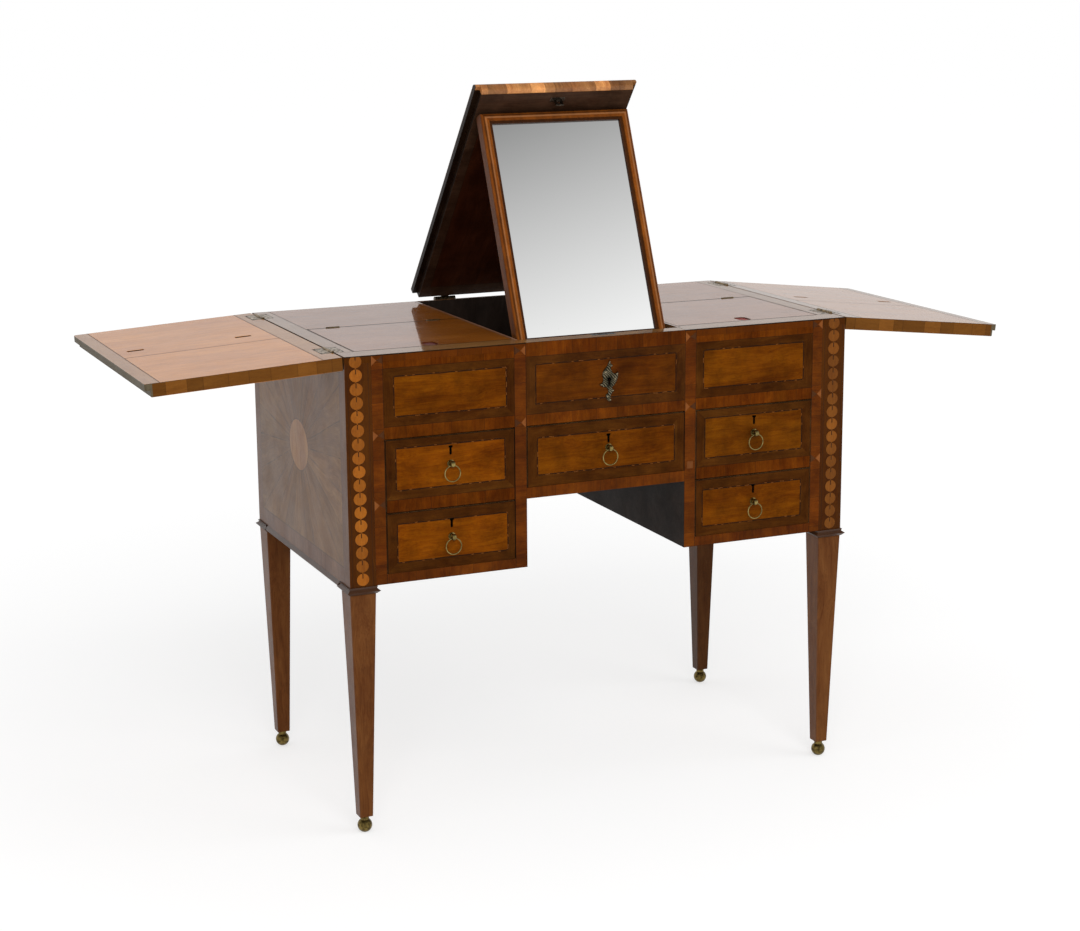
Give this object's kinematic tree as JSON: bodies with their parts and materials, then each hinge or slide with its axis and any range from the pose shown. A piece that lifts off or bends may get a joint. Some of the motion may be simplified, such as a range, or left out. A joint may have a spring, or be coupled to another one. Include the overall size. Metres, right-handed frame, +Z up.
{
  "type": "fold-out dressing table",
  "caption": "Dressing table on tapered legs; its top opens as two side leaves and a middle flap that carries a folding mirror, over lidded compartments, drawers and a kneehole.",
  "frame": {"origin": "On the floor under the middle of the case.", "axes": "+X to the sitter's right seen from the front, +Y to the back, +Z up; the drawers face -Y."},
  "size_m": [1.5015, 0.5207, 1.1725],
  "materials": {
    "veneer": "french-polished figured veneer, dark borders and light fields",
    "top_veneer": "polished veneer, worn by use",
    "leg_wood": "waxed solid wood",
    "moulding_wood": "waxed moulding",
    "frame_wood": "polished frame",
    "carcass_wood": "bare planed secondary wood",
    "brass": "aged brass",
    "steel": "worn bright steel",
    "leather_tab": "worn red-brown leather",
    "mirror_plate": "old silvered plate"
  },
  "bodies": {
    "case": {"front_legs": "leg_wood", "rear_legs": "leg_wood", "leg_collars": "moulding_wood", "ball_feet": "brass", "side_mouldings": "moulding_wood", "left_side_panel": "veneer", "right_side_panel": "veneer", "partitions": "veneer", "front_stiles": "veneer", "back_panels": "carcass_wood", "bottom_boards": "veneer", "dust_boards": "carcass_wood", "side_friezes": "veneer", "centre_frieze": "veneer", "compartment_trays": "carcass_wood", "top_boards": "top_veneer", "kneehole_rails": "veneer", "well_linings": "carcass_wood", "escutcheon": "brass", "well_lock": "steel", "case_top_hinges": "brass", "case_flap_hinges": "brass"},
    "left_leaf_body": {"left_leaf": "top_veneer", "left_leaf_hinges": "brass"},
    "right_leaf_body": {"right_leaf": "top_veneer", "right_leaf_hinges": "brass"},
    "left_lid_body": {"left_lid": "top_veneer", "left_lid_tab": "leather_tab", "left_lid_hinges": "brass"},
    "right_lid_body": {"right_lid": "top_veneer", "right_lid_tab": "leather_tab", "right_lid_hinges": "brass"},
    "flap_body": {"flap": "top_veneer", "flap_hinges": "brass", "staple": "steel"},
    "mirror_body": {"mirror_frame": "frame_wood", "mirror_glass": "mirror_plate", "mirror_back": "carcass_wood", "mirror_frame_hinges": "brass"},
    "upper_left_drawer": {"upper_left_drawer_front": "veneer", "upper_left_drawer_box": "carcass_wood", "upper_left_drawer_fittings": "brass"},
    "upper_left_ring": {"upper_left_drawer_ring": "brass"},
    "upper_right_drawer": {"upper_right_drawer_front": "veneer", "upper_right_drawer_box": "carcass_wood", "upper_right_drawer_fittings": "brass"},
    "upper_right_ring": {"upper_right_drawer_ring": "brass"},
    "lower_left_drawer": {"lower_left_drawer_front": "veneer", "lower_left_drawer_box": "carcass_wood", "lower_left_drawer_fittings": "brass"},
    "lower_left_ring": {"lower_left_drawer_ring": "brass"},
    "lower_right_drawer": {"lower_right_drawer_front": "veneer", "lower_right_drawer_box": "carcass_wood", "lower_right_drawer_fittings": "brass"},
    "lower_right_ring": {"lower_right_drawer_ring": "brass"},
    "centre_drawer": {"centre_drawer_front": "veneer", "centre_drawer_box": "carcass_wood", "centre_drawer_fittings": "brass"},
    "centre_ring": {"centre_drawer_ring": "brass"}
  },
  "joints": [
    {"name": "left_leaf_fold", "type": "hinge", "parent": "case", "child": "left_leaf_body", "pos_m": [-0.4445, 0, 0.78015], "axis": [0, 1, 0], "range_deg": [0, 183.1]},
    {"name": "right_leaf_fold", "type": "hinge", "parent": "case", "child": "right_leaf_body", "pos_m": [0.4445, 0, 0.78015], "axis": [0, -1, 0], "range_deg": [0, 186.5]},
    {"name": "left_lid_lift", "type": "hinge", "parent": "case", "child": "left_lid_body", "pos_m": [-0.28, 0.032, 0.78], "axis": [1, 0, 0], "range_deg": [-95, 0]},
    {"name": "right_lid_lift", "type": "hinge", "parent": "case", "child": "right_lid_body", "pos_m": [0.28, 0.032, 0.78], "axis": [1, 0, 0], "range_deg": [-95, 0]},
    {"name": "flap_fold", "type": "hinge", "parent": "case", "child": "flap_body", "pos_m": [0, 0.252, 0.78], "axis": [1, 0, 0], "range_deg": [0, 50.4]},
    {"name": "mirror_fold", "type": "hinge", "parent": "flap_body", "child": "mirror_body", "pos_m": [0, -0.03187, 1.11686], "axis": [1, 0, 0], "range_deg": [0, 62.11]},
    {"name": "upper_left_drawer_slide", "type": "slide", "parent": "case", "child": "upper_left_drawer", "axis": [0, -1, 0], "range_m": [0, 0.3]},
    {"name": "upper_left_ring_swing", "type": "hinge", "parent": "upper_left_drawer", "child": "upper_left_ring", "pos_m": [-0.27125, -0.2515, 0.596], "axis": [-1, 0, 0], "range_deg": [-8, 85]},
    {"name": "upper_right_drawer_slide", "type": "slide", "parent": "case", "child": "upper_right_drawer", "axis": [0, -1, 0], "range_m": [0, 0.3]},
    {"name": "upper_right_ring_swing", "type": "hinge", "parent": "upper_right_drawer", "child": "upper_right_ring", "pos_m": [0.27125, -0.2515, 0.596], "axis": [-1, 0, 0], "range_deg": [-8, 85]},
    {"name": "lower_left_drawer_slide", "type": "slide", "parent": "case", "child": "lower_left_drawer", "axis": [0, -1, 0], "range_m": [0, 0.3]},
    {"name": "lower_left_ring_swing", "type": "hinge", "parent": "lower_left_drawer", "child": "lower_left_ring", "pos_m": [-0.27125, -0.2515, 0.478], "axis": [-1, 0, 0], "range_deg": [-8, 85]},
    {"name": "lower_right_drawer_slide", "type": "slide", "parent": "case", "child": "lower_right_drawer", "axis": [0, -1, 0], "range_m": [0, 0.3]},
    {"name": "lower_right_ring_swing", "type": "hinge", "parent": "lower_right_drawer", "child": "lower_right_ring", "pos_m": [0.27125, -0.2515, 0.478], "axis": [-1, 0, 0], "range_deg": [-8, 85]},
    {"name": "centre_drawer_slide", "type": "slide", "parent": "case", "child": "centre_drawer", "axis": [0, -1, 0], "range_m": [0, 0.3]},
    {"name": "centre_ring_swing", "type": "hinge", "parent": "centre_drawer", "child": "centre_ring", "pos_m": [0.003, -0.2515, 0.596], "axis": [-1, 0, 0], "range_deg": [-8, 85]}
  ],
  "couplings": [
    {"joint": "mirror_fold", "follows": "flap_fold", "ratio": 1.2321}
  ]
}
